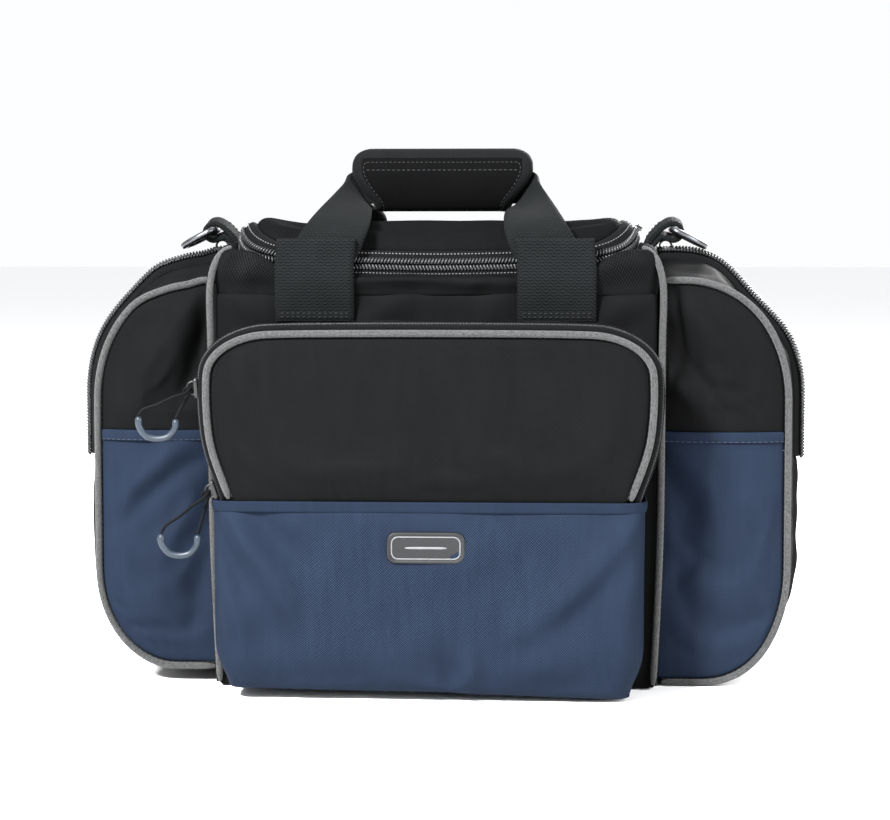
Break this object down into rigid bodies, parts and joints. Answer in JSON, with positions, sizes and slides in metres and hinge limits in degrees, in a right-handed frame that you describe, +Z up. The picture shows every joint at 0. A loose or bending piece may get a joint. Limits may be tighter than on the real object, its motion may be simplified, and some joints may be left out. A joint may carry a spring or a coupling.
{
  "type": "flight bag",
  "caption": "Soft flight bag with a zipped lid, a zipped front pocket, zipped end pockets, webbing carry handles with a padded grip, and shoulder-strap rings.",
  "frame": {"origin": "centre of the underside of the main compartment, on the surface the bag stands on", "axes": "+X to the bag's right as seen from the front, -Y towards the front pocket, +Z up"},
  "size_m": [0.476, 0.2291, 0.348],
  "materials": {
    "cloth_black": "coated woven nylon, matt charcoal black",
    "cloth_navy": "coated woven nylon, navy blue",
    "piping": "heather grey cloth piping",
    "webbing": "ribbed black nylon webbing",
    "zip": "black nylon coil zip",
    "grip_pad": "smooth padded wrap",
    "dark_metal": "dark gunmetal enamel",
    "pull_plastic": "soft slate-blue moulded tube",
    "pull_cord": "braided black cord",
    "badge": "moulded soft badge, plain",
    "base_board": "stiff black sheet"
  },
  "bodies": {
    "bag": {"front_panel": "cloth_black", "rear_panel": "cloth_black", "left_wall": "cloth_black", "right_wall": "cloth_black", "bottom_panel": "cloth_black", "base_board": "base_board", "top_collar": "cloth_black", "lid_zip_outer": "zip", "front_piping_left": "piping", "front_piping_right": "piping", "pocket_lower": "cloth_navy", "pocket_gusset": "cloth_black", "pocket_zip_outer": "zip", "badge": "badge", "front_strap_left": "webbing", "front_strap_right": "webbing", "rear_strap_left": "webbing", "rear_strap_right": "webbing", "left_ring_tab": "webbing", "right_ring_tab": "webbing", "left_pocket_front_upper": "cloth_black", "left_pocket_front_lower": "cloth_navy", "left_pocket_piping": "piping", "left_pocket_gusset": "cloth_black", "left_pocket_rear_lower": "cloth_navy", "left_zip_fixed": "zip", "right_pocket_front_upper": "cloth_black", "right_pocket_front_lower": "cloth_navy", "right_pocket_piping": "piping", "right_pocket_gusset": "cloth_black", "right_pocket_rear_lower": "cloth_navy", "right_zip_fixed": "zip"},
    "lid": {"lid_panel": "cloth_black", "lid_zip_inner": "zip"},
    "lid_slider": {"lid_slider": "dark_metal"},
    "front_handle": {"front_handle_webbing": "webbing", "front_grip": "grip_pad"},
    "rear_handle": {"rear_handle_webbing": "webbing", "rear_grip": "grip_pad"},
    "pocket_flap": {"flap_panel": "cloth_black", "flap_piping": "piping", "flap_zip": "zip"},
    "upper_slider": {"upper_slider": "dark_metal"},
    "upper_pull": {"upper_pull_cord": "pull_cord", "upper_pull_grip": "pull_plastic"},
    "lower_slider": {"lower_slider": "dark_metal"},
    "lower_pull": {"lower_pull_cord": "pull_cord", "lower_pull_grip": "pull_plastic"},
    "left_ring": {"left_d_ring": "dark_metal"},
    "right_ring": {"right_d_ring": "dark_metal"},
    "left_leaf": {"left_leaf_gusset": "cloth_black", "left_leaf_panel": "cloth_black", "left_zip_leaf": "zip"},
    "right_leaf": {"right_leaf_gusset": "cloth_black", "right_leaf_panel": "cloth_black", "right_zip_leaf": "zip"},
    "left_end_slider": {"left_end_slider": "dark_metal"},
    "right_end_slider": {"right_end_slider": "dark_metal"}
  },
  "joints": [
    {"name": "lid_hinge", "type": "hinge", "parent": "bag", "child": "lid", "pos_m": [0, 0.079, 0.283], "axis": [-1, 0, 0], "range_deg": [0, 90]},
    {"name": "front_handle_swing", "type": "hinge", "parent": "bag", "child": "front_handle", "pos_m": [0, -0.093, 0.266], "axis": [1, 0, 0], "range_deg": [0, 162]},
    {"name": "rear_handle_swing", "type": "hinge", "parent": "bag", "child": "rear_handle", "pos_m": [0, 0.093, 0.266], "axis": [-1, 0, 0], "range_deg": [0, 162]},
    {"name": "lid_slider_slide", "type": "slide", "parent": "lid", "child": "lid_slider", "axis": [0, -1, 0], "range_m": [0, 0.095]},
    {"name": "flap_hinge", "type": "hinge", "parent": "bag", "child": "pocket_flap", "pos_m": [0, -0.1375, 0.124], "axis": [1, 0, 0], "range_deg": [0, 150]},
    {"name": "upper_slider_slide", "type": "slide", "parent": "bag", "child": "upper_slider", "axis": [-0.0499, 0, 0.9988], "range_m": [-0.025, 0]},
    {"name": "upper_pull_swing", "type": "hinge", "parent": "upper_slider", "child": "upper_pull", "pos_m": [-0.15054, -0.127, 0.19543], "axis": [0, 1, 0], "range_deg": [-15, 90]},
    {"name": "lower_slider_slide", "type": "slide", "parent": "bag", "child": "lower_slider", "axis": [-0.2941, 0, 0.9558], "range_m": [0, 0.018]},
    {"name": "lower_pull_swing", "type": "hinge", "parent": "lower_slider", "child": "lower_pull", "pos_m": [-0.13947, -0.127, 0.13065], "axis": [0, 1, 0], "range_deg": [-15, 70]},
    {"name": "left_ring_swing", "type": "hinge", "parent": "bag", "child": "left_ring", "pos_m": [-0.1535, 0, 0.2945], "axis": [0, 1, 0], "range_deg": [0, 150]},
    {"name": "right_ring_swing", "type": "hinge", "parent": "bag", "child": "right_ring", "pos_m": [0.1535, 0, 0.2945], "axis": [0, -1, 0], "range_deg": [0, 150]},
    {"name": "left_leaf_hinge", "type": "hinge", "parent": "bag", "child": "left_leaf", "pos_m": [-0.1425, 0.0705, 0.2], "axis": [0, 0, -1], "range_deg": [0, 60]},
    {"name": "right_leaf_hinge", "type": "hinge", "parent": "bag", "child": "right_leaf", "pos_m": [0.1425, 0.0705, 0.2], "axis": [0, 0, 1], "range_deg": [0, 60]},
    {"name": "left_end_slider_slide", "type": "slide", "parent": "bag", "child": "left_end_slider", "axis": [-1, 0, 0], "range_m": [0, 0.012]},
    {"name": "right_end_slider_slide", "type": "slide", "parent": "bag", "child": "right_end_slider", "axis": [1, 0, 0], "range_m": [0, 0.012]}
  ],
  "couplings": [
    {"joint": "front_handle_swing", "follows": "lid_hinge", "ratio": 1.8},
    {"joint": "rear_handle_swing", "follows": "lid_hinge", "ratio": 1.8}
  ]
}
